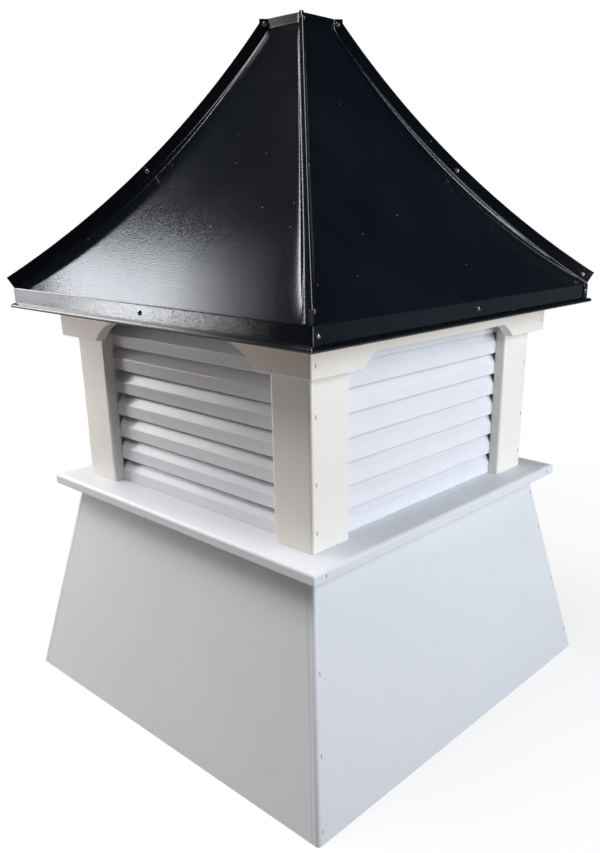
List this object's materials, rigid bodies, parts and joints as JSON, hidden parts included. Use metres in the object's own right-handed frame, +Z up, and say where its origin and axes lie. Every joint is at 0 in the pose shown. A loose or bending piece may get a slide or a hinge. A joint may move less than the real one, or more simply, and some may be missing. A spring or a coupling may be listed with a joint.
{
  "type": "roof cupola",
  "caption": "Square louvered roof cupola: flared white base, moulded sill, corner posts with coved headers, slatted sides and a black curved sheet metal hip roof.",
  "frame": {"origin": "middle of the base's foot, on the floor", "axes": "+Z up along the roof's axis, -Y the front (left face in the picture), +X the right face in the picture"},
  "size_m": [0.762, 0.762, 1.1445],
  "materials": {
    "vinyl_sheet": "smooth white sheet, low sheen",
    "trim_board": "smooth warm white board, low sheen",
    "louver_vinyl": "smooth cool white slat, low sheen",
    "timber": "plain sawn softwood",
    "black_sheet": "gloss black with fine orange peel"
  },
  "bodies": {
    "root": {"base_right": "vinyl_sheet", "base_left": "vinyl_sheet", "base_front": "vinyl_sheet", "base_back": "vinyl_sheet", "sill_right": "vinyl_sheet", "sill_left": "vinyl_sheet", "sill_front": "vinyl_sheet", "sill_back": "vinyl_sheet", "post_fr_x": "trim_board", "post_fr_y": "trim_board", "post_br_x": "trim_board", "post_br_y": "trim_board", "post_bl_x": "trim_board", "post_bl_y": "trim_board", "post_fl_x": "trim_board", "post_fl_y": "trim_board", "header_right": "trim_board", "header_left": "trim_board", "header_front": "trim_board", "header_back": "trim_board", "louver_right": "louver_vinyl", "louver_left": "louver_vinyl", "louver_front": "louver_vinyl", "louver_back": "louver_vinyl", "rail_right": "timber", "rail_left": "timber", "rail_front": "timber", "rail_back": "timber", "roof_right": "black_sheet", "roof_left": "black_sheet", "roof_front": "black_sheet", "roof_back": "black_sheet", "roof_cap": "black_sheet"}
  },
  "joints": []
}
